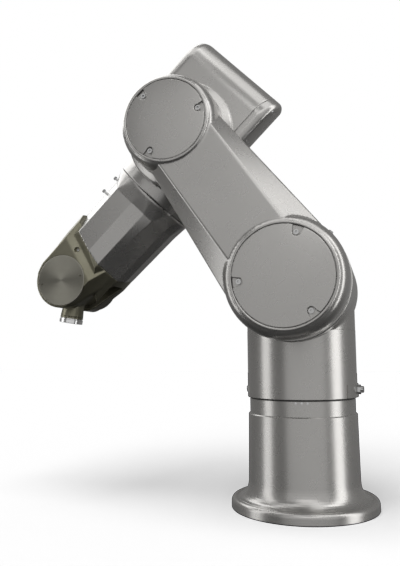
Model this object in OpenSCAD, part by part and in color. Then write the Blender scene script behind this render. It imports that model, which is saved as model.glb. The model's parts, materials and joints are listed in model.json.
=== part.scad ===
// Six-axis jointed robot arm with a round pedestal, an offset upper arm and a forked wrist.
// Z is up and the origin is the centre of the foot's underside.
// The upper arm and forearm lie in planes parallel to XZ and lean towards -X, on the -Y side.

/* [Pedestal] */
// Radius of the round foot
foot_r = 113.2; // [110:0.2:118]
// Height of the pedestal casting, up to the step under the neck
pedestal_h = 143.8; // [142:0.2:146]
// Outer radius of the pedestal casting at its top
pedestal_top_r = 84.4; // [83.6:0.2:85.2]
// Outer radius of the neck ring that carries the main bearing
neck_r = 81.8; // [80.8:0.2:82.6]
// Circle diameter of the threaded holes in the foot
foot_pcd = 190; // [186:1:194]

/* [Shoulder] */
// Height of the horizontal shoulder axis above the foot
axis2_z = 341; // [338:1:346]
// Outer radius of the turning column
column_r = 85.2; // [84.6:0.2:86]
// Radius of the horizontal shoulder housing
shoulder_r = 88; // [87:0.5:90]

/* [Arms] */
// Distance between the shoulder axis and the elbow axis
upper_l = 290; // [286:1:296]
// Distance between the elbow axis and the wrist axis
forearm_l = 310; // [306:1:316]
// Lean of the upper arm from vertical, in degrees
arm_lean = 35.2; // [33:0.2:37]
// Lean of the forearm from straight down, in degrees
forearm_lean = 45.5; // [44:0.5:47]
// Depth of the forearm centre line behind the shoulder centre
forearm_y = -18; // [-19:0.5:-17]

/* [Wrist] */
// Lean of the tool axis from straight down, in degrees
tool_lean = 9.8; // [6:0.2:12]
// Distance between the wrist axis and the face of the tool flange
tool_l = 70; // [70:0.5:74]
// Radius of the tool flange
flange_r = 20; // [19.6:0.2:20.4]
// Circle diameter of the tool flange's threaded holes
flange_pcd = 31.5; // [31:0.5:32]

/* [Hidden] */

$fn = 96;
gap = 0.3;
seam = 0.4;
run_fit = 0.05;

paint = [0.56, 0.55, 0.53];
bare = [0.36, 0.35, 0.31];
steel = [0.72, 0.73, 0.75];
dark = [0.14, 0.14, 0.15];
motor_black = [0.2, 0.2, 0.22];

// Pedestal and main bearing
foot_rim_h = 9.5;
foot_roll = 7;
fillet_top = 42;
pedestal_foot_r = 85.8;
cavity_r = 72;
cover_r = 82;
cover_t = 3;
cover_z = 1.5;
foot_hole_r = 4.25;
foot_hole_depth = 14;
foot_holes = 6;
neck_top = 167;
race_outer_r = 62;
race_split_r = 53;
race_inner_r = 44;
skirt_z = 168.8;
skirt_top = 271.6;
hub_z = 169.4;
hub_t = 9;

// Rear connector panel
panel_y = 96;
panel_w = 76;
panel_h = 70;
panel_z = 52;
panel_t = 3;

// Shoulder housing along Y
shoulder_front = -105;
shoulder_rear = 90;
shoulder_wall = 12;

// Upper arm, in Y
arm_back = -122;
arm_edge = -150;
arm_flat = -175.5;
disc_face = -180;
disc_seat = -169;
shoulder_disc_r = 70.5;
elbow_disc_r = 60.3;
flat_half_w = 47;
web_shoulder_w = 84.5;
web_elbow_w = 62.5;
shoulder_bore = 56;
elbow_bore = 46;
shoulder_screw_r = 61;
elbow_screw_r = 51.5;

// Elbow
elbow_x = -upper_l * sin(arm_lean);
elbow_z = axis2_z + upper_l * cos(arm_lean);
boss_face = arm_back + 1.5;
boss_front = -112;
drum_flat = -111.5;
drum_x = 4;
drum_y = -90;
drum_r = 91;
drum_top = -141;
drum_bottom = 42;
cap_seam = -66;
cap_end = -86;
cap_foot = -50;
cap_seam_depth = 120;
drum_round = 42;
neck4_r = 74.5;
seam4 = 104;

// Forearm and wrist
fork_u = 237;
fork_half = 59;
fork_rear = 53;
seam_tilt = 15.1;
seam_pitch = 7.6;
lip_pitch = 50.5;
slot_half = 27;
slot_u = 262;
prong_r = 46;
forearm_end = 256;
fork_screw_seat = 19;
nose_r = 17.4;
wrist_cap_r = 42.8;
trunnion_r = 12;
wrist_r = 38;

module shoulder_frame() { translate([0, 0, axis2_z]) rotate([0, -arm_lean, 0]) children(); }
module elbow_frame() { translate([elbow_x, 0, elbow_z]) rotate([0, 180 + forearm_lean, 0]) children(); }
module wrist_frame() {
    elbow_frame() translate([0, forearm_y, forearm_l])
        rotate([0, tool_lean - forearm_lean, 0]) children();
}
// A solid rod along Y between two Y values
module y_rod(r, y0, y1) { translate([0, y0, 0]) rotate([-90, 0, 0]) cylinder(r = r, h = y1 - y0); }
// A profile of [radius, y] turned about Y
module y_turn(points) { rotate([-90, 0, 0]) rotate_extrude() polygon(points); }
// A ring about Z
module ring(r_out, r_in, z0, z1) {
    translate([0, 0, z0]) difference() {
        cylinder(r = r_out, h = z1 - z0);
        translate([0, 0, -1]) cylinder(r = r_in, h = z1 - z0 + 2);
    }
}
// A ring about Y
module y_ring(r_out, r_in, y0, y1) {
    difference() { y_rod(r_out, y0, y1); y_rod(r_in, y0 - 1, y1 + 1); }
}
// A socket cap screw whose head top is at z = 0, pointing down
module cap_screw(r_head, h_head, r_shank, l_shank) {
    difference() {
        union() {
            translate([0, 0, -h_head]) cylinder(r = r_head, h = h_head, $fn = 32);
            translate([0, 0, -h_head - l_shank]) cylinder(r = r_shank, h = l_shank + 0.5, $fn = 24);
        }
        translate([0, 0, -h_head * 0.6]) cylinder(r = r_head * 0.55, h = h_head, $fn = 6);
    }
}
function arc(cx, cy, rx, ry, a0, a1, n) =
    [for (i = [0 : n]) let (a = a0 + (a1 - a0) * i / n) [cx + rx * cos(a), cy + ry * sin(a)]];

// ---- Base ----
module foot_profile() {
    roll_z = foot_rim_h;
    fillet_r = foot_r - 10.2;
    polygon(concat(
        [[cover_r + 0.3, 0], [foot_r - 0.8, 0], [foot_r, 0.8]],
        arc(foot_r - foot_roll, roll_z, foot_roll, foot_roll, 0, 80, 8),
        [[fillet_r + 1.6, roll_z + foot_roll - 0.3], [fillet_r + 0.8, roll_z + foot_roll - 1.0]],
        arc(fillet_r, fillet_top, fillet_r - pedestal_foot_r, fillet_top - 16, 270, 180, 10),
        [[pedestal_top_r, pedestal_h - 1.2], [pedestal_top_r - 1.2, pedestal_h],
         [cavity_r, pedestal_h], [cavity_r, cover_z + cover_t],
         [cover_r + 0.3, cover_z + cover_t]]));
}
module foot_hole_places() {
    for (i = [0 : foot_holes - 1])
        rotate([0, 0, 30 + i * 360 / foot_holes]) translate([foot_pcd / 2, 0, 0]) children();
}
module pedestal_casting() {
    color(paint) difference() {
        union() {
            rotate_extrude() foot_profile();
            difference() {
                translate([-panel_w / 2 - 6, 0, panel_z - 6])
                    cube([panel_w + 12, panel_y, panel_h + 12]);
                translate([0, 0, panel_z - 10]) cylinder(r = 80, h = panel_h + 20);
            }
        }
        foot_hole_places() translate([0, 0, -1]) cylinder(r = foot_hole_r, h = foot_hole_depth + 1, $fn = 32);
        translate([-panel_w / 2 + 4, 30, panel_z + 4]) cube([panel_w - 8, 100, panel_h - 8]);
        panel_screw_places() rotate([-90, 0, 0]) translate([0, 0, -14]) cylinder(r = 1.9, h = 20, $fn = 24);
        cover_screw_places() translate([0, 0, 1]) cylinder(r = 1.9, h = 14, $fn = 24);
    }
}
module cover_screw_places() {
    for (i = [0 : 3]) rotate([0, 0, i * 90 + 45]) translate([cover_r - 5, 0, 0]) children();
}
module bottom_cover() {
    color(dark) difference() {
        translate([0, 0, cover_z]) cylinder(r = cover_r, h = cover_t);
        cylinder(r = 12, h = 10);
        cover_screw_places() cylinder(r = 2.1, h = 10, $fn = 24);
    }
}
module bottom_cover_screws() {
    color(steel) cover_screw_places()
        translate([0, 0, 0.2]) rotate([180, 0, 0]) cap_screw(3.4, cover_z - 0.2, 1.8, 10);
}
module neck_ring() {
    color(paint) rotate_extrude() polygon([
        [race_outer_r, pedestal_h], [neck_r, pedestal_h], [neck_r, neck_top - 0.8],
        [neck_r - 0.8, neck_top], [race_outer_r, neck_top]]);
}
module index_pins() {
    color(steel) for (a = [0.5, 6.4, 12.2]) rotate([0, 0, a]) translate([0, -neck_r, neck_top - 2.9])
        rotate([90, 0, 0]) cylinder(r = 1.7, h = 1.2, $fn = 24);
}
module axis1_motor() {
    color(motor_black) {
        translate([0, 0, 14]) cylinder(r = 30, h = 58);
        translate([-33, -33, 72]) cube([66, 66, 8]);
        translate([-12, 30, 20]) cube([24, 14, 24]);
    }
}
module axis1_reducer() {
    color(steel) rotate_extrude() polygon([
        [0, 80], [48, 80], [48, 86], [52, 90], [52, 134], [68, 134], [68, pedestal_h - 0.1],
        [0, pedestal_h - 0.1]]);
}
module axis1_outer_race() { color(steel) ring(race_outer_r, race_split_r, 146, 164); }
module axis1_seal() { color(dark) ring(neck_r - 1.6, neck_r - 6, neck_top, skirt_z - gap); }

module panel_screw_places() {
    for (x = [-1, 1], z = [-1, 1])
        translate([x * (panel_w / 2 - 5), panel_y, panel_z + panel_h / 2 + z * (panel_h / 2 - 5)]) children();
}
socket_x = 15;
socket_z = panel_z + 46;
port_z = panel_z + 18;
module connector_panel() {
    color(dark) difference() {
        translate([-panel_w / 2 - 4, panel_y, panel_z - 4]) cube([panel_w + 8, panel_t, panel_h + 8]);
        for (x = [-socket_x - 2, socket_x + 2]) translate([x, panel_y - 1, socket_z]) rotate([-90, 0, 0])
            cylinder(r = 12.2, h = panel_t + 2);
        for (x = [-18, 18]) translate([x, panel_y - 1, port_z]) rotate([-90, 0, 0])
            cylinder(r = 5.2, h = panel_t + 2, $fn = 32);
        panel_screw_places() rotate([-90, 0, 0]) translate([0, 0, -1]) cylinder(r = 2.2, h = panel_t + 2, $fn = 24);
    }
}
module panel_screws() {
    color(steel) panel_screw_places() translate([0, panel_t + 3, 0]) rotate([-90, 0, 0]) cap_screw(3.4, 3, 1.8, 12);
}
module round_socket(pins) {
    difference() {
        union() {
            translate([0, -10, 0]) y_rod(12, 0, 20);
            y_rod(14.5, panel_t, panel_t + 3);
        }
        y_rod(9.5, 2, 11);
    }
    for (i = [0 : pins - 1]) rotate([0, i * 360 / pins, 0]) translate([5.4, 1, 0]) y_rod(0.9, 0, 7, $fn = 16);
}
module power_socket() { color(dark) translate([-socket_x - 2, panel_y, socket_z]) round_socket(6); }
module signal_socket() { color(dark) translate([socket_x + 2, panel_y, socket_z]) round_socket(10); }
module air_ports() {
    color(steel) for (x = [-18, 18]) translate([x, panel_y, port_z]) difference() {
        union() {
            y_rod(5, -8, panel_t + 1);
            y_rod(7, panel_t, panel_t + 6, $fn = 6);
            y_rod(5.4, panel_t + 5, panel_t + 10);
        }
        y_rod(3, 0, panel_t + 11);
    }
}

// ---- Shoulder ----
module axis1_inner_race() { color(steel) ring(race_split_r - gap, race_inner_r, 146, 164); }
module axis1_output_hub() {
    color(steel) rotate_extrude() polygon([
        [10, pedestal_h + gap], [race_inner_r - 0.1, pedestal_h + gap], [race_inner_r - 0.1, hub_z],
        [column_r - 6.6, hub_z], [column_r - 6.6, hub_z + hub_t], [10, hub_z + hub_t]]);
}
module skirt_pad(a0, a1, z0, z1, proud) {
    rotate([0, 0, a0]) rotate_extrude(angle = a1 - a0)
        polygon([[column_r - 3, z0], [column_r + proud, z0], [column_r + proud, z1 - 1], [column_r - 1, z1]]);
}
module shoulder_skirt() {
    color(paint) difference() {
        union() {
            rotate_extrude() polygon([
                [column_r - 6.4, skirt_z], [column_r - 0.6, skirt_z], [column_r, skirt_z + 0.6],
                [column_r, skirt_top - seam], [column_r - seam, skirt_top], [column_r - 6.4, skirt_top]]);
            skirt_pad(-32, 22, skirt_z + 0.8, 190, 1.6);
            skirt_pad(172, 200, 177, 186, 1.4);
        }
        translate([0, 0, axis2_z]) y_rod(shoulder_r + gap, shoulder_front - 1, shoulder_rear + 10);
        rotate([0, 0, -7]) translate([column_r - 8, 0, nipple_z]) rotate([0, 90, 0]) cylinder(r = 4.2, h = 14, $fn = 32);
        rotate([0, 0, 186]) translate([column_r - 8, 0, 181.5]) rotate([0, 90, 0]) cylinder(r = 3.1, h = 14, $fn = 32);
    }
}
nipple_z = 181;
module air_nipple() {
    color(steel) rotate([0, 0, -7]) translate([column_r - 6, 0, nipple_z]) rotate([0, 90, 0]) difference() {
        union() {
            cylinder(r = 4, h = 8, $fn = 32);
            translate([0, 0, 7.8]) cylinder(r = 7, h = 4.4, $fn = 6);
            translate([0, 0, 12]) cylinder(r = 4.6, h = 4.4, $fn = 32);
        }
        translate([0, 0, 4]) cylinder(r = 2.6, h = 20, $fn = 32);
    }
}
module skirt_plug() {
    color(steel) rotate([0, 0, 186]) translate([column_r - 5, 0, 181.5]) rotate([0, 90, 0]) cylinder(r = 3, h = 7, $fn = 32);
}
module shoulder_casting() {
    color(paint) difference() {
        union() {
            translate([0, 0, skirt_top]) cylinder(r1 = column_r - 0.8, r2 = column_r - 0.2, h = 0.6);
            translate([0, 0, skirt_top + 0.6]) cylinder(r = column_r - 0.2, h = axis2_z - skirt_top);
            translate([0, 0, axis2_z]) y_turn(concat(
                [[0, shoulder_front]],
                [[shoulder_r - 4, shoulder_front], [shoulder_r - 1.2, shoulder_front + 1.2],
                 [shoulder_r, shoulder_front + 4], [shoulder_r, shoulder_rear - 2], [shoulder_r - 2, shoulder_rear],
                 [0, shoulder_rear]]));
        }
        translate([0, 0, axis2_z]) {
            y_rod(shoulder_r - shoulder_wall, shoulder_front + 14, shoulder_rear + 1);
            y_rod(46, shoulder_front - 1, shoulder_front + 15);
            rotate([0, -50, 0]) translate([shoulder_r - 6, shoulder_front + 8, 0])
                rotate([0, 90, 0]) cylinder(r = 3.1, h = 10, $fn = 32);
            rear_screw_places() y_rod(1.9, -12, 2, $fn = 24);
        }
        translate([0, 0, skirt_top - 1]) cylinder(r = column_r - 10, h = axis2_z - skirt_top);
    }
}
module shoulder_breather() {
    color(steel) translate([0, 0, axis2_z]) rotate([0, -50, 0])
        translate([shoulder_r - 5, shoulder_front + 8, 0]) rotate([0, 90, 0]) {
            cylinder(r = 3, h = 6, $fn = 32);
            translate([0, 0, 5.9]) cylinder(r = 5, h = 3, $fn = 6);
            translate([0, 0, 8.8]) cylinder(r = 3.4, h = 2, $fn = 32);
        }
}
module rear_screw_places() {
    for (i = [0 : 5]) rotate([0, 30 + i * 60, 0]) translate([shoulder_r - 6, shoulder_rear, 0]) children();
}
module shoulder_rear_cover() {
    color(paint) translate([0, 0, axis2_z]) difference() {
        y_turn([[0, shoulder_rear], [shoulder_r - 0.4, shoulder_rear], [shoulder_r - 0.4, shoulder_rear + 3],
                [shoulder_r - 4, shoulder_rear + 6], [0, shoulder_rear + 8]]);
        rear_screw_places() {
            y_rod(2.2, -1, 12, $fn = 24);
            y_rod(4, 2.5, 12, $fn = 32);
        }
    }
}
module rear_cover_screws() {
    color(steel) translate([0, 0, axis2_z]) rear_screw_places()
        translate([0, 5.5, 0]) rotate([-90, 0, 0]) cap_screw(3.5, 3, 1.8, 11);
}
module motor_along_y(r, y0, y1) {
    y_rod(r, y0 + 8, y1);
    translate([-r - 2, y0, -r - 2]) cube([2 * r + 4, 8, 2 * r + 4]);
    y_rod(r * 0.7, y1 - 0.1, y1 + 6);
}
module axis2_motor() { color(motor_black) translate([0, 0, axis2_z]) motor_along_y(34, -6, 72); }
module axis2_reducer() {
    color(steel) translate([0, 0, axis2_z]) y_turn([
        [0, -90.9], [72, -90.9], [72, -80], [60, -80], [60, -24], [50, -16], [50, -6.1], [0, -6.1]]);
}
module axis2_outer_race() { color(steel) translate([0, 0, axis2_z]) y_ring(46, 38.3, -104, -91); }

// ---- Upper arm ----
module axis2_output_hub() {
    color(steel) shoulder_frame() y_turn([
        [0, -139], [shoulder_bore - 0.2, -139], [shoulder_bore - 0.2, -130.1], [38, -130.1], [38, -91.3], [0, -91.3]]);
}
module axis2_seal() { color(dark) shoulder_frame() y_ring(74, 68, arm_back, shoulder_front - gap); }

module along_y(y0, y1) { translate([0, y1, 0]) rotate([90, 0, 0]) linear_extrude(y1 - y0) children(); }
// The round end of the upper arm: a rolled rim that rises to a lip around the disc cover
module arm_end(rim, disc, roll) {
    y_turn(concat(
        [[0, arm_back], [rim - 5, arm_back]],
        arc(rim - 4.6, arm_back - 6, 4.6, 6, 80, 0, 4),
        [[rim, arm_edge - 2]],
        arc(rim - roll, arm_edge - 2, roll, 25.5, 0, -78, 10),
        [[disc + 3, disc_face + 1.5], [disc + 1.7, disc_face + 1.2], [disc + 0.7, disc_face + 2.2],
         [disc + 0.7, disc_seat], [0, disc_seat]]));
}
// The hollow of an arm end, with the seat of the output hub at its back
module arm_end_hollow(bore, hub) {
    y_turn([[0, disc_seat - 1], [bore, disc_seat - 1], [bore, -130], [hub, -130], [hub, arm_back + 1], [0, arm_back + 1]]);
}
module arm_web() {
    hull() {
        along_y(arm_edge, arm_back) polygon([
            [web_shoulder_w, 10], [web_elbow_w, upper_l], [-web_elbow_w, upper_l], [-web_shoulder_w, 10]]);
        translate([-flat_half_w, arm_flat, 10]) cube([2 * flat_half_w, 1, upper_l - 10]);
    }
}
module upper_arm_casting() {
    color(paint) shoulder_frame() difference() {
        union() {
            arm_web();
            arm_end(87, shoulder_disc_r, 14);
            translate([0, 0, upper_l]) arm_end(74, elbow_disc_r, 11);
        }
        y_rod(shoulder_disc_r + 0.7, disc_face - 1, disc_seat);
        translate([0, 0, upper_l]) y_rod(elbow_disc_r + 0.7, disc_face - 1, disc_seat);
        arm_end_hollow(shoulder_bore, 38.2);
        translate([0, 0, upper_l]) arm_end_hollow(elbow_bore, 32.2);
        translate([-30, -164, 44]) cube([60, 28, upper_l - 80]);
        disc_screw_places(shoulder_screw_r, shoulder_screw_a) y_rod(2, disc_seat - 1, disc_seat + 12, $fn = 24);
        translate([0, 0, upper_l]) disc_screw_places(elbow_screw_r, elbow_screw_a)
            y_rod(2, disc_seat - 1, disc_seat + 12, $fn = 24);
    }
}
// Screw angles are measured from the arm's own X, anticlockwise as seen from the front
shoulder_screw_a = [36, 151, 272];
elbow_screw_a = [-23, 96, 208];
module disc_screw_places(r, angles) {
    for (a = angles) rotate([0, -a, 0]) translate([r, 0, 0]) children();
}
module disc_cover(r, screw_r, angles) {
    difference() {
        y_turn([[0, disc_seat], [r, disc_seat], [r, disc_face + 1], [r - 1, disc_face], [0, disc_face - 0.6]]);
        disc_screw_places(screw_r, angles) {
            y_rod(5.4, disc_face - 2, disc_face + 5, $fn = 48);
            along_y(disc_face - 2, disc_face + 5) polygon([[1, -5.3], [14, -9], [14, 9], [1, 5.3]]);
            y_rod(2.1, disc_face, disc_seat + 1, $fn = 24);
        }
    }
}
module disc_screws(screw_r, angles) {
    disc_screw_places(screw_r, angles) translate([0, disc_face + 1, 0]) rotate([90, 0, 0]) cap_screw(3.6, 4, 1.8, 14);
}
module shoulder_disc_cover() { color(paint) shoulder_frame() disc_cover(shoulder_disc_r, shoulder_screw_r, shoulder_screw_a); }
module shoulder_disc_screws() { color(steel) shoulder_frame() disc_screws(shoulder_screw_r, shoulder_screw_a); }
module elbow_disc_cover() {
    color(paint) shoulder_frame() translate([0, 0, upper_l]) disc_cover(elbow_disc_r, elbow_screw_r, elbow_screw_a);
}
module elbow_disc_screws() {
    color(steel) shoulder_frame() translate([0, 0, upper_l]) disc_screws(elbow_screw_r, elbow_screw_a);
}
module arm_harness() {
    color(dark) shoulder_frame() translate([0, -153, 42]) cylinder(r = 8, h = upper_l - 84);
}
module axis3_output_hub() {
    color(steel) shoulder_frame() translate([0, 0, upper_l]) y_turn([
        [0, -139], [elbow_bore - 0.2, -139], [elbow_bore - 0.2, -130.1], [32, -130.1], [32, -98.3], [0, -98.3]]);
}

// ---- Elbow ----
module axis3_seal() { color(dark) shoulder_frame() translate([0, 0, upper_l]) y_ring(58, 53, arm_back, boss_face - run_fit); }

module drum_body() {
    intersection() {
        translate([drum_x, drum_y, drum_top]) cylinder(r = drum_r, h = drum_bottom - drum_top);
        translate([-200, 0, 0]) rotate([90, 0, 90]) linear_extrude(400) polygon(concat(
            arc(drum_flat + drum_round, drum_top + drum_round, drum_round, drum_round, 180, 270, 12),
            [[20, drum_top], [20, drum_bottom], [drum_flat, drum_bottom]]));
    }
}
module cap_zone(grow) { translate([-200, -200, -200]) cube([200 + cap_seam + grow, 400, 200 + cap_foot + grow]); }
module elbow_casting() {
    color(paint) elbow_frame() difference() {
        union() {
            difference() {
                union() {
                    drum_body();
                    y_turn([[0, boss_face], [74, boss_face], [85, boss_front], [85, -100], [0, -100]]);
                }
                cap_zone(gap);
            }
            translate([0, forearm_y, 0]) rotate_extrude() polygon(concat(
                [[0, seam4 - gap], [neck4_r, seam4 - gap]],
                arc(neck4_r - 34, -18, 34, 34, 0, -84, 8), [[0, -54]]));
        }
        y_rod(40, boss_face - 1, -96);
        y_rod(54.2, -98, -70);
        y_rod(46.2, -71, 26);
        translate([0, forearm_y, 28]) cylinder(r = 60, h = seam4);
        translate([cap_seam - 1, -90, -114]) cube([cap_seam_depth, 40, 44]);
        end_cap_screw_places() rotate([0, 90, 0]) cylinder(r = 1.6, h = 34, $fn = 24);
    }
}
module motor_end_cap() {
    color(paint) elbow_frame() difference() {
        intersection() {
            drum_body();
            cap_zone(0);
            translate([cap_end, -200, -200]) cube([200, 400, 400]);
        }
        translate([cap_seam - 8, -88, -112]) cube([10, 36, 40]);
        end_cap_screw_places() rotate([0, 90, 0]) {
            cylinder(r = 1.8, h = 40, $fn = 24);
            translate([0, 0, -10]) cylinder(r = 3.2, h = 13, $fn = 32);
        }
    }
}
module end_cap_screw_places() {
    for (y = [-97, -84], z = [-120, -62]) translate([cap_end, y, z]) children();
}
module end_cap_screws() {
    color(steel) elbow_frame() end_cap_screw_places() translate([0.4, 0, 0]) rotate([0, -90, 0]) cap_screw(2.8, 2.6, 1.5, 30);
}
module axis3_outer_race() { color(steel) translate([elbow_x, 0, elbow_z]) y_ring(40, 32.3, -119, -98); }
module axis3_reducer() {
    color(steel) translate([elbow_x, 0, elbow_z]) y_turn([[0, -97.9], [54, -97.9], [54, -88], [46, -88], [46, -56], [0, -56]]);
}
module axis3_motor() { color(motor_black) elbow_frame() motor_along_y(26, -55.9, 18); }
module axis4_motor() {
    color(motor_black) elbow_frame() translate([-58, -70, -92]) rotate([0, 90, 0]) {
        cylinder(r = 19, h = 92);
        translate([-20, -19, 92]) cube([40, 38, 8]);
    }
}
module axis4_bearing() { color(steel) elbow_frame() translate([0, forearm_y, 0]) ring(60, 46.3, 78, 98); }

// ---- Forearm ----
module axis4_hollow_shaft() { color(steel) elbow_frame() translate([0, forearm_y, 0]) ring(46, 36, 66, 112); }
// Section of the faceted forearm at full width, as [v, y]
function forearm_outline(s, t) = [
    [31, -86], [-6, -86], [-32, -80], [-46 - t, -72], [-66 - s, -46], [-69 - s, -20], [-66 - s, 10],
    [-40, 46], [-10, 58], [30, 58], [56, 44], [74, 8], [76, -18], [62, -40]];
// The half-space beyond the seam between the forearm and the fork, which slants across the front
module beyond_seam(step) {
    translate([0, -86, fork_u]) rotate([-seam_pitch, seam_tilt, 0]) translate([-200, -200, step]) cube(400);
}
module forearm_casting() {
    color(paint) elbow_frame() difference() {
        union() {
            hull() {
                translate([0, forearm_y, seam4]) cylinder(r = neck4_r - 0.5, h = 4);
                translate([0, 0, 132]) linear_extrude(1) polygon(forearm_outline(0, 2));
            }
            hull() {
                translate([0, 0, 132]) linear_extrude(1) polygon(forearm_outline(0, 2));
                translate([0, 0, forearm_end - 1]) linear_extrude(1) polygon(forearm_outline(-4, -10));
            }
        }
        beyond_seam(0);
        translate([0, forearm_y, seam4 - 1]) cylinder(r = 58, h = 102);
        translate([0, forearm_y, 200]) cylinder(r = 36, h = 60);
        for (u = breather_u) translate([64, -30, u]) rotate([0, 90, 0]) cylinder(r = 2.1, h = 20, $fn = 24);
    }
}
breather_u = [128, 158];
module forearm_breathers() {
    color(steel) elbow_frame() for (u = breather_u) translate([66, -30, u]) rotate([0, 90, 0]) {
        cylinder(r = 2, h = 10, $fn = 24);
        translate([0, 0, 8.5]) cylinder(r = 3.2, h = 3, $fn = 6);
    }
}
module axis5_motor() {
    color(motor_black) elbow_frame() translate([22, forearm_y - 20, 124]) cylinder(r = 22, h = 78);
}
module axis6_motor() {
    color(motor_black) elbow_frame() translate([-22, forearm_y + 20, 124]) cylinder(r = 22, h = 78);
}
// The fork's plan, as [v, u] from the wrist axis
module prong_plan() {
    circle(r = prong_r);
    polygon([[-62, -110], [72, -110], [69, -56], [49.5, -30], [48, 2], [40, 22],
             [-prong_r + 1, 6], [-50, -14], [-60, -52]]);
}
// The fork's section, as [v, y]
module fork_section() {
    polygon([[-38, forearm_y - fork_half], [47, forearm_y - fork_half], [69, -42], [70, -10], [62, 24],
             [36, fork_rear], [-30, fork_rear], [-56, 26], [-62, -10], [-58, -48]]);
}
// The raised lip that carries the forearm's front panel down to the fork's face
module fork_lip() {
    intersection() {
        translate([0, 0, 200]) linear_extrude(70) polygon(forearm_outline(-4, -10));
        translate([0, -86, fork_u]) rotate([lip_pitch, seam_tilt, 0]) translate([-200, -200, -400]) cube(400);
        translate([-100, -100, 200]) cube([200, 60, 80]);
    }
}
module wrist_fork() {
    color(bare) elbow_frame() difference() {
        intersection() {
            union() {
                intersection() {
                    translate([0, 0, forearm_l]) along_y(forearm_y - fork_half, fork_rear) prong_plan();
                    translate([0, 0, 200]) linear_extrude(160) fork_section();
                }
                fork_lip();
            }
            beyond_seam(0.2);
        }
        translate([-100, forearm_y - slot_half, slot_u]) cube([200, 2 * slot_half, 120]);
        translate([0, forearm_y, 200]) cylinder(r = 24, h = 70);
        translate([0, 0, forearm_l]) {
            y_rod(wrist_cap_r + gap, forearm_y - fork_half - 1, forearm_y - fork_half + 4);
            y_rod(wrist_cap_r + gap, fork_rear - 4, fork_rear + 1);
            y_rod(34, forearm_y - fork_half - 1, forearm_y - slot_half - 14);
            y_rod(34, forearm_y + slot_half + 14, fork_rear + 1);
            y_rod(22, forearm_y - fork_half - 1, fork_rear + 1);
        }
        fork_screw_place() {
            y_rod(4.4, 3, fork_screw_seat, $fn = 32);
            y_rod(2.2, 3, fork_screw_seat + 13, $fn = 24);
        }
    }
}
module fork_screw_place() { translate([17, forearm_y - fork_half - 8, 254.5]) children(); }
module fork_screw() {
    color(steel) elbow_frame() fork_screw_place() translate([0, fork_screw_seat - 4.1, 0]) rotate([90, 0, 0])
        cap_screw(3.8, 4, 2, 12);
}
module wrist_cap(pins) {
    difference() {
        y_turn([[0, 0], [wrist_cap_r - 0.6, 0], [wrist_cap_r, 0.6], [wrist_cap_r, 4], [0, 4]]);
        for (s = [-1, 1]) rotate([0, pins, 0]) translate([s * 36, -1, 0]) y_rod(1.5, 0, 4, $fn = 24);
    }
}
module wrist_front_cap() {
    color(bare) elbow_frame() translate([0, forearm_y - fork_half, forearm_l]) wrist_cap(-55);
}
module wrist_rear_cap() {
    color(bare) elbow_frame() translate([0, fork_rear, forearm_l]) mirror([0, 1, 0]) wrist_cap(20);
}
module wrist_bearings() {
    color(steel) elbow_frame() translate([0, forearm_y, forearm_l]) for (s = [0, 1]) mirror([0, s, 0])
        y_ring(22, trunnion_r + run_fit, slot_half + 0.5, slot_half + 13);
}
module axis5_drive() {
    color(steel) elbow_frame() translate([0, forearm_y, forearm_l])
        y_ring(30, trunnion_r + run_fit, slot_half + 17, slot_half + 26);
}

// ---- Wrist and tool flange ----
module wrist_body() {
    color(bare) wrist_frame() difference() {
        union() {
            y_rod(wrist_r, -slot_half + 0.6, slot_half - 0.6);
            rotate_extrude() polygon([
                [0, 0], [nose_r, 0], [nose_r, 34], [flange_r - 1.2, 54], [flange_r - 0.4, tool_l - 8.4],
                [0, tool_l - 8.4]]);
        }
        y_rod(trunnion_r, -slot_half - 1, slot_half + 1);
        translate([0, 0, 20]) cylinder(r = 15, h = tool_l);
    }
}
module wrist_trunnions() {
    color(steel) wrist_frame() y_rod(trunnion_r, -slot_half - 20, slot_half + 27);
}
module axis6_bearing() { color(steel) wrist_frame() ring(15, 9.1, 30, 48); }
module tool_flange() {
    color(steel) wrist_frame() difference() {
        union() {
            translate([0, 0, 24]) cylinder(r = 9, h = 40);
            rotate_extrude() polygon([
                [0, tool_l - 8], [flange_r - 0.6, tool_l - 8], [flange_r - 0.6, tool_l - 6.6],
                [flange_r, tool_l - 6.2], [flange_r, tool_l - 0.6], [flange_r - 0.6, tool_l], [0, tool_l]]);
        }
        translate([0, 0, tool_l - 4]) cylinder(r = 10, h = 6);
        for (i = [0 : 3]) rotate([0, 0, 45 + 90 * i]) translate([flange_pcd / 2, 0, tool_l - 9])
            cylinder(r = 2.1, h = 12, $fn = 32);
        translate([flange_pcd / 2, 0, tool_l - 5]) cylinder(r = 1.5, h = 8, $fn = 32);
    }
}
module flange_dowel() {
    color(steel) wrist_frame() translate([flange_pcd / 2, 0, tool_l - 5]) cylinder(r = 1.5, h = 5, $fn = 32);
}

pedestal_casting();
bottom_cover();
bottom_cover_screws();
neck_ring();
index_pins();
axis1_motor();
axis1_reducer();
axis1_outer_race();
axis1_seal();
connector_panel();
panel_screws();
power_socket();
signal_socket();
air_ports();
axis1_inner_race();
axis1_output_hub();
shoulder_skirt();
shoulder_casting();
skirt_plug();
air_nipple();
shoulder_breather();
shoulder_rear_cover();
rear_cover_screws();
axis2_motor();
axis2_reducer();
axis2_outer_race();
axis2_output_hub();
axis2_seal();
upper_arm_casting();
shoulder_disc_cover();
shoulder_disc_screws();
elbow_disc_cover();
elbow_disc_screws();
arm_harness();
axis3_output_hub();
axis3_seal();
elbow_casting();
motor_end_cap();
end_cap_screws();
axis3_motor();
axis3_reducer();
axis3_outer_race();
axis4_motor();
axis4_bearing();
axis4_hollow_shaft();
forearm_casting();
forearm_breathers();
axis5_motor();
axis6_motor();
wrist_fork();
fork_screw();
wrist_front_cap();
wrist_rear_cap();
wrist_bearings();
axis5_drive();
wrist_body();
wrist_trunnions();
axis6_bearing();
tool_flange();
flange_dowel();
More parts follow.
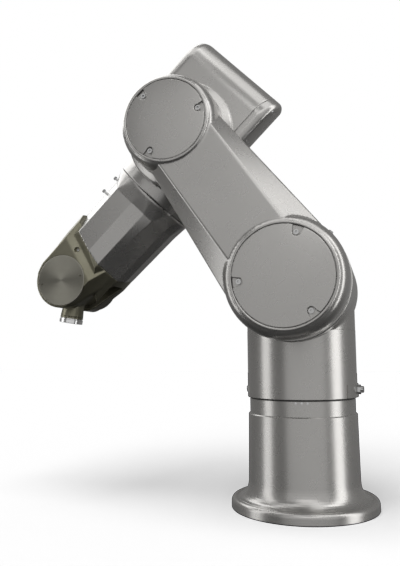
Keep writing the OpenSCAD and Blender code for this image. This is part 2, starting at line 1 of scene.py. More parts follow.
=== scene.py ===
"""Looks of the six-axis robot arm: satin metallic paint, bare alloy wrist, soft studio light."""
import json
import math

import bpy
import numpy as np
from mathutils import Matrix, Vector


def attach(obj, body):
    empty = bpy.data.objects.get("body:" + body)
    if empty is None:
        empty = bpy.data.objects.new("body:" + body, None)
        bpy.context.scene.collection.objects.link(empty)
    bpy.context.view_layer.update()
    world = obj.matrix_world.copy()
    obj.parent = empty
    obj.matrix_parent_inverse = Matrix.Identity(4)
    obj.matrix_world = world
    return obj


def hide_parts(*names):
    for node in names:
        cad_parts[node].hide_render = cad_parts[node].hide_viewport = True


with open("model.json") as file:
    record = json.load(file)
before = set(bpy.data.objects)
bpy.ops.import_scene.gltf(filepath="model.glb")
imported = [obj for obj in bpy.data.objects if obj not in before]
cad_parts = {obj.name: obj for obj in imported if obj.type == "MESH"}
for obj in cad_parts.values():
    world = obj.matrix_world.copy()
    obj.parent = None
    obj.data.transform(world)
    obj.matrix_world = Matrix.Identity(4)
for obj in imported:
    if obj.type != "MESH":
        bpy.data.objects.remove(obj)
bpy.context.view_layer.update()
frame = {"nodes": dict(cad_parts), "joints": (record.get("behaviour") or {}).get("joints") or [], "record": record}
JOINTS = {joint["name"]: joint for joint in frame["joints"]}
MM = 0.001


# ---------- Frames of the moving links ----------
def link_frame(origin, z_axis):
    """A frame whose Z runs along a link, whose Y is the row's Y and whose X completes it."""
    z = Vector(z_axis).normalized()
    y = Vector((0, 1, 0))
    x = y.cross(z)
    return Matrix.Translation(origin) @ Matrix((x, y, z)).transposed().to_4x4()


SHOULDER = Vector(JOINTS["axis2"]["pos_m"])
ELBOW = Vector(JOINTS["axis3"]["pos_m"])
ELBOW.y = 0
WRIST = Vector(JOINTS["axis5"]["pos_m"])
FOREARM_Y = JOINTS["axis4"]["pos_m"][1] / MM
UPPER_L = (ELBOW - SHOULDER).length / MM
FOREARM_L = (WRIST - Vector(JOINTS["axis4"]["pos_m"])).length / MM
ARM = link_frame(SHOULDER, ELBOW - SHOULDER)
FOREARM = link_frame(ELBOW, JOINTS["axis4"]["axis"])
TOOL = link_frame(WRIST, JOINTS["axis6"]["axis"])
WORLD = Matrix.Identity(4)


# ---------- Node materials ----------
def new_material(name):
    material = bpy.data.materials.new(name)
    material.use_nodes = True
    nodes = material.node_tree.nodes
    return material, nodes, material.node_tree.links, nodes["Principled BSDF"]


def noise(nodes, links, coords, scale, detail=3.0, roughness=0.5):
    node = nodes.new("ShaderNodeTexNoise")
    node.inputs["Scale"].default_value = scale
    node.inputs["Detail"].default_value = detail
    node.inputs["Roughness"].default_value = roughness
    links.new(coords, node.inputs["Vector"])
    return node.outputs["Fac"]


def ramp(nodes, links, value, low, high):
    """A colour ramp from the colour low=(position, rgb) to the colour high=(position, rgb)."""
    node = nodes.new("ShaderNodeValToRGB")
    for element, (position, colour) in zip(node.color_ramp.elements, (low, high)):
        element.position = position
        element.color = (*colour, 1)
    links.new(value, node.inputs["Fac"])
    return node.outputs["Color"]


def spread(nodes, links, value, low, high, end="To"):
    """Map 0..1 to low..high, or with end="From" map low..high to 0..1."""
    node = nodes.new("ShaderNodeMapRange")
    node.inputs[end + " Min"].default_value = low
    node.inputs[end + " Max"].default_value = high
    links.new(value, node.inputs["Value"])
    return node.outputs["Result"]


def bump(nodes, links, height, strength, distance):
    node = nodes.new("ShaderNodeBump")
    node.inputs["Strength"].default_value = strength
    node.inputs["Distance"].default_value = distance
    links.new(height, node.inputs["Height"])
    return node.outputs["Normal"]


def object_coords(nodes):
    return nodes.new("ShaderNodeTexCoord").outputs["Object"]


def cast_paint(name, dark, light, metallic=0.8, rough=(0.26, 0.29)):
    """Satin metallic paint on a casting: fine flake, faint orange peel and slow tone changes."""
    material, nodes, links, shader = new_material(name)
    coords = object_coords(nodes)
    tone = noise(nodes, links, coords, 9.0, 4.0)
    links.new(ramp(nodes, links, tone, (0.3, dark), (0.75, light)), shader.inputs["Base Color"])
    gloss = noise(nodes, links, coords, 40.0, 1.0)
    links.new(spread(nodes, links, gloss, *rough), shader.inputs["Roughness"])
    peel = noise(nodes, links, coords, 700.0, 2.0)
    links.new(bump(nodes, links, peel, 0.02, 0.00004), shader.inputs["Normal"])
    shader.inputs["Metallic"].default_value = metallic
    shader.inputs["Coat Weight"].default_value = 0.25
    shader.inputs["Coat Roughness"].default_value = 0.12
    return material


def bare_alloy(name, dark, light, rough=(0.3, 0.42)):
    """Machined or blasted alloy without paint."""
    material, nodes, links, shader = new_material(name)
    coords = object_coords(nodes)
    tone = noise(nodes, links, coords, 25.0, 5.0)
    links.new(ramp(nodes, links, tone, (0.3, dark), (0.75, light)), shader.inputs["Base Color"])
    gloss = noise(nodes, links, coords, 600.0)
    links.new(spread(nodes, links, gloss, *rough), shader.inputs["Roughness"])
    grit = noise(nodes, links, coords, 1500.0)
    links.new(bump(nodes, links, grit, 0.08, 0.0001), shader.inputs["Normal"])
    shader.inputs["Metallic"].default_value = 0.9
    return material


def matte(name, dark, light, rough=(0.45, 0.6), grain=1200.0):
    """Rubber, plastic or powder coat with a fine grain."""
    material, nodes, links, shader = new_material(name)
    coords = object_coords(nodes)
    tone = noise(nodes, links, coords, 60.0)
    links.new(ramp(nodes, links, tone, (0.3, dark), (0.7, light)), shader.inputs["Base Color"])
    links.new(spread(nodes, links, tone, *rough), shader.inputs["Roughness"])
    grit = noise(nodes, links, coords, grain)
    links.new(bump(nodes, links, grit, 0.15, 0.0001), shader.inputs["Normal"])
    return material


def grey(value, warmth=0.0):
    return (value * (1 + warmth), value, value * (1 - 1.6 * warmth))


def turned_alloy(name, dark, light):
    """Alloy faced on a lathe: fine circular marks that spread the shine into a cross."""
    material = bare_alloy(name, dark, light, (0.26, 0.34))
    nodes, links = material.node_tree.nodes, material.node_tree.links
    shader = nodes["Principled BSDF"]
    tangent = nodes.new("ShaderNodeTangent")
    tangent.direction_type = "RADIAL"
    tangent.axis = "Y"
    links.new(tangent.outputs["Tangent"], shader.inputs["Tangent"])
    shader.inputs["Anisotropic"].default_value = 0.85
    return material


MATERIALS = {
    "arm_paint": cast_paint("arm_paint", grey(0.4, 0.02), grey(0.44, 0.02)),
    "bare_alloy": bare_alloy("bare_alloy", (0.2, 0.19, 0.14), (0.26, 0.25, 0.19)),
    "turned_alloy": turned_alloy("turned_alloy", (0.3, 0.29, 0.25), (0.36, 0.35, 0.3)),
    "steel_parts": bare_alloy("steel_parts", grey(0.5), grey(0.62), (0.18, 0.3)),
    "polished_flange": bare_alloy("polished_flange", grey(0.75), grey(0.85), (0.08, 0.16)),
    "seal_rubber": matte("seal_rubber", grey(0.012), grey(0.02)),
    "dark_paint": matte("dark_paint", grey(0.03), grey(0.045), (0.35, 0.5)),
    "motor_shell": matte("motor_shell", grey(0.02), grey(0.03), (0.3, 0.4)),
    "socket_plastic": matte("socket_plastic", grey(0.015), grey(0.025)),
}


# ---------- Castings as distance fields, in mm in the frame of their link ----------
def both(a, b, r=0.0):
    """The intersection of two fields, its edge rounded to radius r."""
    if np.ndim(r) == 0 and r == 0:
        return np.maximum(a, b)
    return np.minimum(-r, np.maximum(a, b)) + np.hypot(np.maximum(r + a, 0), np.maximum(r + b, 0))


def either(a, b, r=0.0):
    """The union of two fields, its inner corner filled to radius r."""
    return -both(-a, -b, r)


def less(a, b, r=0.0):
    return both(a, -b, r)


def slab(x, low, high):
    return np.maximum(low - x, x - high)


def gradient(field, points, step=0.02):
    out = np.empty_like(points)
    for axis in range(3):
        offset = np.zeros(3)
        offset[axis] = step
        out[:, axis] = field(*(points + offset).T) - field(*(points - offset).T)
    return out / np.maximum(np.linalg.norm(out, axis=1, keepdims=True), 1e-12)


def crossings(field, values, axes, cell, axis):
    """Grid edges along one axis that pass through the surface: index, point and sign of each."""
    inside = values < 0
    lower = [slice(None)] * 3
    upper = [slice(None)] * 3
    lower[axis] = slice(0, -1)
    upper[axis] = slice(1, None)
    index = np.argwhere(inside[tuple(lower)] != inside[tuple(upper)])
    start = np.stack([axes[k][index[:, k]] for k in range(3)], axis=1)
    starts_inside = inside[tuple(index.T)]
    near = np.zeros(len(index))
    far = np.ones(len(index))
    for _ in range(9):
        middle = (near + far) / 2
        points = start.copy()
        points[:, axis] += middle * cell
        same = (field(*points.T) < 0) == starts_inside
        near = np.where(same, middle, near)
        far = np.where(same, far, middle)
    points = start.copy()
    points[:, axis] += (near + far) / 2 * cell
    return index, points, starts_inside


def contour(field, low, high, cell):
    """Dual contouring: vertices, quads and the true normal of each quad corner."""
    low = np.array(low, float)
    counts = np.ceil((np.array(high, float) - low) / cell).astype(int) + 1
    axes = [low[k] + cell * np.arange(counts[k]) for k in range(3)]
    values = field(*np.meshgrid(*axes, indexing="ij"))
    quads, points, normals = [], [], []
    for axis in range(3):
        index, at, outward = crossings(field, values, axes, cell, axis)
        corners = []
        for da, db in ((-1, -1), (0, -1), (0, 0), (-1, 0)):
            corner = index.copy()
            corner[:, (axis + 1) % 3] += da
            corner[:, (axis + 2) % 3] += db
            corners.append(np.ravel_multi_index(corner.T, counts))
        quad = np.stack(corners, axis=1)
        quads.append(np.where(outward[:, None], quad, quad[:, ::-1]))
        points.append(at)
        normals.append(gradient(field, at))
    quads = np.concatenate(quads)
    points = np.repeat(np.concatenate(points), 4, axis=0)
    normals = np.repeat(np.concatenate(normals), 4, axis=0)
    cells, which = np.unique(quads, return_inverse=True)
    which = which.ravel()

    def total(weights):
        return np.bincount(which, weights, len(cells))

    count = total(np.ones(len(which)))
    centre = np.stack([total(points[:, k]) / count for k in range(3)], axis=1)
    reach = np.einsum("ij,ij->i", normals, points - centre[which])
    push = np.stack([total(normals[:, k] * reach) for k in range(3)], axis=1)
    square = np.empty((len(cells), 3, 3))
    for i in range(3):
        for k in range(3):
            square[:, i, k] = total(normals[:, i] * normals[:, k])
    weight, basis = np.linalg.eigh(square)
    inverse = np.where(weight > 0.06 * weight[:, 2:], 1 / np.maximum(weight, 1e-9), 0)
    along = np.einsum("nji,nj->ni", basis, push) * inverse
    vertices = centre + np.einsum("nij,nj->ni", basis, along)
    corner = low + cell * np.stack(np.unravel_index(cells, counts), axis=1)
    vertices = np.clip(vertices, corner, corner + cell)
    quads = which.reshape(-1, 4)

    middle = vertices[quads].mean(axis=1)
    smooth = gradient(field, vertices)[quads]
    towards = vertices[quads] * 0.7 + middle[:, None] * 0.3
    crisp = gradient(field, towards.reshape(-1, 3)).reshape(-1, 4, 3)
    creased = np.einsum("ijk,ijk->ij", smooth, crisp) < math.cos(math.radians(16))
    return vertices, quads, np.where(creased[..., None], crisp, smooth)


def casting(name, field, low, high, cell, place, body, slot_name, *nodes):
    vertices, quads, normals = contour(field, low, high, cell)
    turn = np.array(place.to_3x3())
    vertices = (vertices * MM) @ turn.T + np.array(place.translation)
    mesh = bpy.data.meshes.new(name)
    mesh.from_pydata(vertices.tolist(), [], quads.tolist())
    mesh.shade_smooth()
    mesh.normals_split_custom_set((normals.reshape(-1, 3) @ turn.T).tolist())
    return piece(name, mesh, body, slot_name, *nodes)


def piece(name, mesh, body, slot_name, *nodes):
    made = bpy.data.objects.new(name, mesh)
    bpy.context.scene.collection.objects.link(made)
    mesh.materials.append(MATERIALS[slot_name])
    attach(made, body)
    if nodes:
        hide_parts(*nodes)
    return made


def inset(corners, by):
    """The corners of an outline moved in by a distance."""
    corners = [Vector(corner) for corner in corners]
    after = corners[1:] + corners[:1]
    turn = sum(a.cross(b) for a, b in zip(corners, after))
    out = []
    for last, here, following in zip(corners[-1:] + corners[:-1], corners, after):
        a = (here - last).normalized()
        b = (following - here).normalized()
        half = math.sqrt((1 + a.dot(b)) / 2)
        bulge = -1 if a.cross(b) * turn > 0 else 1
        out.append(here + (a - b).normalized() * bulge * by / half)
    return out


def outline(x, y, corners):
    """Signed distance to an outline whose corners may vary from point to point."""
    nearest = np.full_like(x, 1e9)
    inside = np.zeros(x.shape, bool)
    for (ax, ay), (bx, by) in zip(corners, corners[1:] + corners[:1]):
        ex, ey = bx - ax, by - ay
        px, py = x - ax, y - ay
        share = np.clip((px * ex + py * ey) / np.maximum(ex * ex + ey * ey, 1e-9), 0, 1)
        nearest = np.minimum(nearest, np.hypot(px - share * ex, py - share * ey))
        height = np.where(np.abs(ey) > 1e-9, ey, 1e-9)
        inside ^= ((py >= 0) != (py >= ey)) & (px < py * ex / height)
    return np.where(inside, -nearest, nearest)


def plane(x, y, z, point, normal):
    """Distance beyond a plane, on the side that its normal points to."""
    size = math.hypot(*normal)
    return sum((c - p) * n / size for c, p, n in zip((x, y, z), point, normal))


# ---------- Upper arm ----------
ARM_BACK = -122
ARM_EDGE = -152
ARM_FLAT = -175.5
DISC_FACE = -180
DISC_SEAT = -169
FLAT_HALF_W = 47
SHOULDER_RIM_R = 87
ELBOW_RIM_R = 74
SHOULDER_WEB = 84.5
ELBOW_WEB = 62.5
SHOULDER_DISC_R = 70.5
ELBOW_DISC_R = 60.3
DISC_GAP = 0.7
ROLL_RISE = 25.5
BEAD_R = 2.0
# Radii of the reducer bore and of the hub hole, radius of the disc, and place along the arm
ARM_BORES = ((56, 38.2, SHOULDER_DISC_R, 0), (46, 32.2, ELBOW_DISC_R, UPPER_L))
BORE_FLOOR = -130


def arm_end(x, y, z, rim, disc, roll):
    """A round arm end: its rim rolls over to a bead around the seat of the disc cover."""
    r = np.hypot(x, z)
    front = np.maximum(ARM_EDGE - y, 0)
    rolled = (np.hypot(np.maximum(r - rim + roll, 0) / roll, front / ROLL_RISE) - 1) * roll
    body = both(np.where(y > ARM_EDGE, r - rim, rolled), y - ARM_BACK, 4.5)
    bead = np.hypot(r - disc - 2.4, y - DISC_FACE - 3.2) - BEAD_R
    body = either(body, bead, 1.2)
    return less(body, np.maximum(r - disc - DISC_GAP, y - DISC_SEAT))


def upper_arm(x, y, z):
    share = np.clip((z - 10) / (UPPER_L - 10), 0, 1)
    half = SHOULDER_WEB + (ELBOW_WEB - SHOULDER_WEB) * share
    drop = ARM_EDGE + 2 - ARM_FLAT
    lean = half - FLAT_HALF_W
    bevel = ((np.abs(x) - FLAT_HALF_W) * drop - (y - ARM_FLAT) * lean) / np.hypot(drop, lean)
    web = both(ARM_FLAT - y, bevel, 1.2)
    web = both(web, np.abs(x) - half, 1.5)
    web = both(web, y - ARM_BACK, 3.0)
    web = np.maximum(web, slab(z, 0, UPPER_L))
    shoulder_end = arm_end(x, y, z, SHOULDER_RIM_R, SHOULDER_DISC_R, 14)
    elbow_end = arm_end(x, y, z - UPPER_L, ELBOW_RIM_R, ELBOW_DISC_R, 11)
    ends = np.minimum(shoulder_end, elbow_end)
    solid = either(web, ends, 0.8)
    for bore, hub, disc, rise in ARM_BORES:
        r = np.hypot(x, z - rise)
        solid = less(solid, np.maximum(r - disc - DISC_GAP, y - DISC_SEAT))
        solid = less(solid, np.maximum(r - bore, y - BORE_FLOOR))
        solid = less(solid, r - hub)
    return solid


casting("upper_arm", upper_arm, (-92, -184, -92), (92, -117, 370), 2.2, ARM, "upper_arm",
        "arm_paint", "upper_arm_casting")


# ---------- Disc covers of the upper arm ----------
DOME = 2.0
POCKET_R = 5.5
POCKET_DEPTH = 5
POCKET_SPREAD = 0.28
SCREW_HOLE_R = 2.1


def disc_cover(radius, screw_r, angles, centre):
    """A slightly domed disc with a teardrop pocket, open to the rim, for each screw."""
    def field(x, y, z):
        z = z - centre
        r = np.hypot(x, z)
        dome = DISC_FACE + DOME * (r / radius) ** 2 - 0.5
        solid = both(both(dome - y, r - radius, 0.7), y - DISC_SEAT)
        for angle in angles:
            across = math.radians(angle)
            out = x * math.cos(across) + z * math.sin(across) - screw_r
            side = np.abs(z * math.cos(across) - x * math.sin(across))
            wedge = (side - 5.3) * math.cos(POCKET_SPREAD) - out * math.sin(POCKET_SPREAD)
            pocket = np.minimum(np.hypot(out, side) - POCKET_R, np.maximum(wedge, -out))
            solid = less(solid, both(pocket, y - DISC_FACE - POCKET_DEPTH, 0.6), 0.5)
            solid = less(solid, np.hypot(out, side) - SCREW_HOLE_R)
        return solid
    return field


casting("shoulder_disc", disc_cover(SHOULDER_DISC_R, 61, (36, 151, 272), 0),
        (-74, -183, -74), (74, -166, 74), 1.1, ARM, "upper_arm", "arm_paint",
        "shoulder_disc_cover")
casting("elbow_disc", disc_cover(ELBOW_DISC_R, 51.5, (-23, 96, 208), UPPER_L),
        (-64, -183, UPPER_L - 64), (64, -166, UPPER_L + 64), 1.1, ARM, "upper_arm", "arm_paint",
        "elbow_disc_cover")


# ---------- Shoulder ----------
AXIS2_Z = SHOULDER.z / MM
SKIRT_TOP = 271.6
COLUMN_R = 85.2
COLUMN_BORE_R = 75
SHOULDER_R = 88
SHOULDER_BORE_R = 76
SHOULDER_FRONT = -105
SHOULDER_BACK = 90
SHOULDER_WALL = -91
HUB_BORE_R = 46


def shoulder(x, y, z):
    column = np.maximum(np.hypot(x, y) - COLUMN_R + 0.2, slab(z, SKIRT_TOP, AXIS2_Z))
    r = np.hypot(x, z - AXIS2_Z)
    housing = both(r - SHOULDER_R, slab(y, SHOULDER_FRONT, SHOULDER_BACK), 2.0)
    solid = either(column, housing, 4.0)
    solid = less(solid, np.maximum(r - SHOULDER_BORE_R, slab(y, SHOULDER_WALL, SHOULDER_BACK + 5)))
    solid = less(solid, r - HUB_BORE_R + np.maximum(y + 80, 0) * 10)
    bore = np.maximum(np.hypot(x, y) - COLUMN_BORE_R, slab(z, SKIRT_TOP - 10, AXIS2_Z))
    return less(solid, bore)


casting("shoulder", shoulder, (-94, -110, 247), (94, 95, AXIS2_Z + 92), 2.6, WORLD, "shoulder",
        "arm_paint", "shoulder_casting")


# ---------- Elbow ----------
DRUM_X = 4
DRUM_Y = -90
DRUM_R = 91
DRUM_FLAT = -111.5
DRUM_TOP = -141
DRUM_ROUND = 42
CAP_SEAM = -66
CAP_END = -86
CAP_FOOT = -50
BOSS_FACE = -120.5
BOSS_R = 85
BOSS_FACE_R = 74
SEAM4 = 104
NECK4_R = 74.5
NECK4_BORE_R = 60
NECK4_ROUND = 34
NECK4_STRAIGHT = -18
NECK4_END = -52


def drum(x, y, z):
    profile = both(DRUM_FLAT - y, DRUM_TOP - z, DRUM_ROUND)
    side = np.hypot(x - DRUM_X, y - DRUM_Y) - DRUM_R
    return both(side, profile, 11 + 7 * np.clip((x + 20) / 60, 0, 1))


def cap_side(x, z, gap):
    """Negative on the side of the motor end cap."""
    return np.maximum(x - CAP_SEAM + gap, z - CAP_FOOT + gap)


def elbow(x, y, z):
    housing = both(less(drum(x, y, z), cap_side(x, z, -0.25), 0.6), z - 42, 2.0)
    r = np.hypot(x, y - FOREARM_Y)
    below = np.maximum(NECK4_STRAIGHT - z, 0)
    end = np.hypot(np.maximum(r - NECK4_R + NECK4_ROUND, 0), below) - NECK4_ROUND
    end = np.where(r < NECK4_R - NECK4_ROUND, NECK4_END - z, end)
    end = np.where(z < NECK4_STRAIGHT, end, -99)
    neck = both(np.maximum(r - NECK4_R, end), z - SEAM4 + 0.6, 1.0)
    r = np.hypot(x, z)
    cone = (r - BOSS_FACE_R - (y - BOSS_FACE) * 11 / 8.5) * 0.61
    boss = both(np.maximum(both(cone, r - BOSS_R, 2.0), y + 60), BOSS_FACE - y, 1.2)
    boss = less(boss, cap_side(x, z, -0.25))
    solid = either(either(housing, neck, 5.0), boss, 1.5)
    solid = less(solid, np.maximum(r - 40, y + 96))
    solid = less(solid, np.maximum(r - 54.2, slab(y, -98, -70)))
    solid = less(solid, np.maximum(r - 46.2, slab(y, -71, 26)))
    return less(solid, np.maximum(np.hypot(x, y - FOREARM_Y) - NECK4_BORE_R, 28 - z))


casting("elbow", elbow, (-94, -128, -146), (100, 62, 108), 2.2, FOREARM, "elbow", "arm_paint",
        "elbow_casting")


def end_cap(x, y, z):
    body = both(drum(x, y, z), cap_side(x, z, 0.25), 0.6)
    return both(body, CAP_END - x, 3.5)


casting("end_cap", end_cap, (-92, -118, -146), (-60, -10, -44), 1.3, FOREARM, "elbow", "arm_paint",
        "motor_end_cap")


# ---------- Forearm ----------
BLEND_FROM = SEAM4 + 4
BLEND_TO = 132
FORK_U = 237
FOREARM_END = 256
FACET_ROUND = 1.5
SECTION_NEAR = ((31, -86), (-6, -86), (-32, -80), (-48, -72), (-66, -46), (-69, -20), (-66, 10),
                (-40, 46), (-10, 58), (30, 58), (56, 44), (74, 8), (76, -18), (62, -40))
SECTION_FAR = ((31, -86), (-6, -86), (-32, -80), (-36, -72), (-62, -46), (-65, -20), (-62, 10),
               (-40, 46), (-10, 58), (30, 58), (56, 44), (74, 8), (76, -18), (62, -40))
NEAR = inset(SECTION_NEAR, FACET_ROUND)
FAR = inset(SECTION_FAR, FACET_ROUND)
SEAM_POINT = (0, -86, FORK_U)
SEAM_NORMAL = (0.271, 0.138, 1)


def forearm_body(x, y, z):
    grow = np.clip((z - BLEND_FROM) / (BLEND_TO - BLEND_FROM), 0, 1)
    along = np.clip((z - BLEND_TO) / (FOREARM_END - BLEND_TO), 0, 1.2)
    corners = []
    for near, far in zip(NEAR, FAR):
        cx = (near.x + (far.x - near.x) * along) * grow
        cy = (near.y + (far.y - near.y) * along) * grow + FOREARM_Y * (1 - grow)
        corners.append((cx, cy))
    return outline(x, y, corners) - (NECK4_R - 0.5) * (1 - grow) - FACET_ROUND * grow


def forearm(x, y, z):
    body = both(forearm_body(x, y, z), SEAM4 + 0.3 - z, 0.8)
    body = both(body, plane(x, y, z, SEAM_POINT, SEAM_NORMAL) + 0.15, 0.6)
    r = np.hypot(x, y - FOREARM_Y)
    body = less(body, np.maximum(r - 58, z - FORK_U + 32))
    return less(body, r - 36)


casting("forearm", forearm, (-78, -92, 100), (82, 64, 264), 2.0, FOREARM, "forearm", "arm_paint",
        "forearm_casting")


# ---------- Wrist fork ----------
FORK_FRONT = -77
FORK_REAR = 53
SLOT = (-45, 9)
SLOT_U = 262
CAP_POCKET = 4
HINGE_POCKET_R = 34
HINGE_WALL = 14
HINGE_BORE_R = 22
CABLE_BORE_R = 24
CABLE_BORE_END = 270
SCREW_SEAT_R = 4.4
WRIST_CAP_R = 42.8
PRONG_R = 46
PRONG_PLAN = ((-62, -130), (72, -130), (69, -56), (49.5, -30), (48, 2), (40, 22),
              (-45, 6), (-50, -14), (-60, -52))
FORK_SECTION = ((-38, FORK_FRONT), (47, FORK_FRONT), (69, -42), (70, -10), (62, 24),
                (36, FORK_REAR), (-30, FORK_REAR), (-56, 26), (-62, -10), (-58, -48))
GROOVE_POINT = (17, -72.5, 247.5)
LIP_NORMAL = (0.18, -0.73, 0.655)
RISE_NORMAL = (-0.08, -0.95, -0.30)
FORK_SCREW = (17, 254.5)


def wrist_fork(x, y, z):
    along = z - FOREARM_L
    r = np.hypot(x, along)
    plan = either(r - PRONG_R, outline(x, along, inset(PRONG_PLAN, 2.0)) - 2.0, 3.0)
    section = outline(x, y, inset(FORK_SECTION, 2.0)) - 2.0
    body = both(plan, section, 2.2)
    body = both(body, plane(x, y, z, GROOVE_POINT, RISE_NORMAL), 0.5)
    lip = both(forearm_body(x, y, z), plane(x, y, z, SEAM_POINT, LIP_NORMAL), 0.8)
    body = either(body, np.maximum(lip, y + 40), 0.5)
    body = both(body, 0.15 - plane(x, y, z, SEAM_POINT, SEAM_NORMAL), 0.6)
    slot = both(slab(y, *SLOT), SLOT_U - z, 6.0)
    body = less(body, slot, 1.2)
    seats = -slab(y, FORK_FRONT + CAP_POCKET, FORK_REAR - CAP_POCKET)
    body = less(body, np.maximum(r - WRIST_CAP_R - 0.4, seats))
    pockets = -slab(y, SLOT[0] - HINGE_WALL, SLOT[1] + HINGE_WALL)
    body = less(body, np.maximum(r - HINGE_POCKET_R, pockets))
    body = less(body, r - HINGE_BORE_R)
    cable = np.hypot(x, y - FOREARM_Y) - CABLE_BORE_R
    body = less(body, cable + np.maximum(z - CABLE_BORE_END, 0) * 10)
    screw = np.hypot(x - FORK_SCREW[0], z - FORK_SCREW[1])
    body = less(body, np.maximum(screw - SCREW_SEAT_R, y + 71), 0.4)
    return less(body, np.maximum(screw - 2.2, y + 57))


casting("wrist_fork", wrist_fork, (-70, -90, 192), (78, 60, 362), 1.7, FOREARM, "forearm",
        "bare_alloy", "wrist_fork")


PIN_CIRCLE_R = 36
PIN_HOLE_R = 1.5


def wrist_cap(face, side, pin_angle):
    """A turned cap with a broken edge and two spanner holes. Its face points to side."""
    def field(x, y, z):
        z = z - FOREARM_L
        depth = (y - face) * side
        solid = both(both(depth, np.hypot(x, z) - WRIST_CAP_R, 0.7), -4 - depth)
        for sign in (-1, 1):
            px = sign * PIN_CIRCLE_R * math.cos(math.radians(pin_angle))
            pz = sign * PIN_CIRCLE_R * math.sin(math.radians(pin_angle))
            solid = less(solid, np.maximum(np.hypot(x - px, z - pz) - PIN_HOLE_R, -3 - depth))
        return solid
    return field


def cap_box(face, side):
    near, far = sorted((face + side * 3, face - side * 7))
    return (-47, near, FOREARM_L - 47), (47, far, FOREARM_L + 47)


for cap_name, cap_face, cap_side_y, pins in (
        ("wrist_front_cap", FORK_FRONT, -1, 55), ("wrist_rear_cap", FORK_REAR, 1, 20)):
    cap = casting(cap_name, wrist_cap(cap_face, cap_side_y, pins), *cap_box(cap_face, cap_side_y),
                  0.9, FOREARM, "forearm", "bare_alloy", cap_name)
    cap.data.materials[0] = MATERIALS["turned_alloy"]


# ---------- Wrist body and tool flange, in the frame of the tool axis ----------
FLANGE_R = 20
TOOL_L = 70
HUB_R = 38
HUB_HALF = 26.4
NOSE_R = 17.4
GROOVE_Z = 58


def wrist_body(x, y, z):
    around = np.hypot(x, z)
    hub = both(around - HUB_R, np.abs(y) - HUB_HALF, 2.5)
    r = np.hypot(x, y)
    nose_r = NOSE_R + np.clip((z - 34) / 24, 0, 1) * 2.2
    nose = np.maximum(r - nose_r, slab(z, 0, TOOL_L - 8.6))
    solid = either(hub, nose, 6.0)
    groove = np.maximum(np.abs(z - GROOVE_Z) - 0.6, FLANGE_R - 1.1 - r)
    solid = less(solid, groove)
    solid = less(solid, around - 12)
    return less(solid, np.maximum(r - 15, 20 - z))


casting("wrist_body", wrist_body, (-42, -30, -42), (42, 30, 66), 1.2, TOOL, "wrist",
        "bare_alloy", "wrist_body")


# ---------- CAD nodes that stay ----------
def dress(obj, slot_name):
    obj.data.materials.clear()
    obj.data.materials.append(MATERIALS[slot_name])


for part in frame["record"]["subparts"]:
    dress(frame["nodes"][part["node"]], part["material_slot"])


# ---------- Camera, light and floor ----------
CAMERA_AT = Vector((0.1234, -0.9894, 0.2394))
CAMERA_YAW = 16.39
CAMERA_PITCH = 6.44
CAMERA_ROLL = 0.40
CAMERA_LENS = 38.91


def make_camera():
    data = bpy.data.cameras.new("camera")
    data.lens = CAMERA_LENS
    data.sensor_width = 36.0
    camera = bpy.data.objects.new("camera", data)
    camera.matrix_world = (
        Matrix.Translation(CAMERA_AT)
        @ Matrix.Rotation(math.radians(CAMERA_YAW), 4, "Z")
        @ Matrix.Rotation(math.radians(90 + CAMERA_PITCH), 4, "X")
        @ Matrix.Rotation(math.radians(-CAMERA_ROLL), 4, "Z"))
    bpy.context.scene.collection.objects.link(camera)
    bpy.context.scene.camera = camera


LIGHT_TARGET = Vector((-0.08, -0.05, 0.36))


FLOOR_GAP = 0.0005


def softbox(name, azimuths, elevations, distance, radiance):
    """An area light that fills a window of angles seen from the object. Azimuth 0 is on the
    camera's side and positive is to the right of the view."""
    azimuth = math.radians(-90 + CAMERA_YAW + sum(azimuths) / 2)
    tilt = math.radians(sum(elevations) / 2)
    flat = math.cos(tilt)
    direction = Vector((math.cos(azimuth) * flat, math.sin(azimuth) * flat, math.sin(tilt)))
    data = bpy.data.lights.new(name, "AREA")
    data.shape = "RECTANGLE"
    half_width = math.radians(azimuths[1] - azimuths[0]) / 2 * flat
    data.size = 2 * distance * math.tan(half_width)
    data.size_y = 2 * distance * math.tan(math.radians(elevations[1] - elevations[0]) / 2)
    data.energy = radiance * math.pi * data.size * data.size_y
    light = bpy.data.objects.new(name, data)
    light.location = LIGHT_TARGET + direction * distance
    light.rotation_euler = direction.to_track_quat("Z", "Y").to_euler()
    bpy.context.scene.collection.objects.link(light)
    return light


def make_lights():
    softbox("right_strip", (56, 80), (-32, 50), 1.8, 2.4)
    softbox("left_strip", (-99, -76), (-28, 40), 1.8, 1.7)
    softbox("front_fill", (-44, 42), (-26, 40), 2.3, 0.52)
    softbox("front_glow", (-22, 20), (17, 44), 2.2, 0.9)
    softbox("top_right", (8, 68), (33, 80), 2.0, 1.35)
    softbox("top_left", (-95, 0), (50, 84), 2.1, 1.2)
    softbox("back_left", (-168, -98), (22, 72), 2.0, 2.0)
    softbox("low_left", (-130, -104), (-40, -14), 2.0, 0.06)


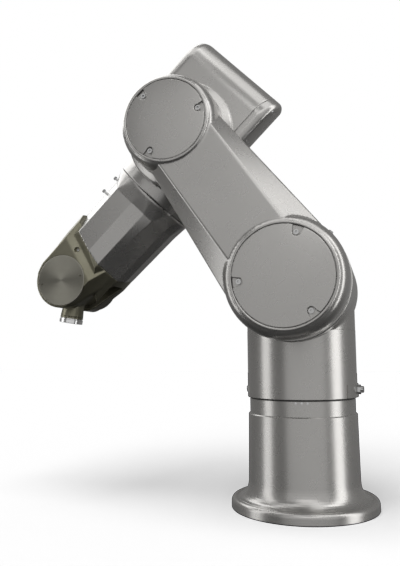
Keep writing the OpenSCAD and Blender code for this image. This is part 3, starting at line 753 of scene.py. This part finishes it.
def light_only(light, obj, state):
    """Light linking: the light reaches only this object, or every object but this one."""
    group = bpy.data.collections.new(light.name + "_receivers")
    group.objects.link(obj)
    group.collection_objects[0].light_linking.link_state = state
    light.light_linking.receiver_collection = group


def make_floor():
    mesh = bpy.data.meshes.new("floor")
    half = 6.0
    corners = [(-half, -half, 0), (half, -half, 0), (half, half, 0), (-half, half, 0)]
    mesh.from_pydata(corners, [], [(0, 1, 2, 3)])
    floor = bpy.data.objects.new("floor", mesh)
    floor.location.z = -FLOOR_GAP
    mesh.materials.append(matte("floor", grey(0.8), grey(0.82), (0.7, 0.8), 300.0))
    floor.is_shadow_catcher = True
    floor.visible_glossy = False
    floor.visible_diffuse = False
    floor.visible_shadow = False
    bpy.context.scene.collection.objects.link(floor)
    for light in [obj for obj in bpy.context.scene.objects if obj.type == "LIGHT"]:
        light_only(light, floor, "EXCLUDE")
    light_only(softbox("floor_light", (-75, 15), (35, 89), 3.0, 3.0), floor, "INCLUDE")


def make_world():
    """White to the camera. To the object, an even room with a dark floor."""
    world = bpy.data.worlds.new("studio")
    world.use_nodes = True
    nodes, links = world.node_tree.nodes, world.node_tree.links
    room = nodes["Background"]
    height = nodes.new("ShaderNodeSeparateXYZ")
    links.new(nodes.new("ShaderNodeTexCoord").outputs["Generated"], height.inputs["Vector"])
    level = spread(nodes, links, height.outputs["Z"], -1, 1, "From")
    dark_floor = (0.22, (0.03, 0.03, 0.03))
    grey_room = (0.46, (0.2, 0.198, 0.195))
    links.new(ramp(nodes, links, level, dark_floor, grey_room), room.inputs["Color"])
    seen = nodes.new("ShaderNodeBackground")
    seen.inputs["Color"].default_value = (1, 1, 1, 1)
    mix = nodes.new("ShaderNodeMixShader")
    links.new(nodes.new("ShaderNodeLightPath").outputs["Is Camera Ray"], mix.inputs["Fac"])
    links.new(room.outputs["Background"], mix.inputs[1])
    links.new(seen.outputs["Background"], mix.inputs[2])
    links.new(mix.outputs["Shader"], nodes["World Output"].inputs["Surface"])
    scene = bpy.context.scene
    scene.world = world
    scene.view_settings.view_transform = "Standard"


make_camera()
make_lights()
make_floor()
make_world()
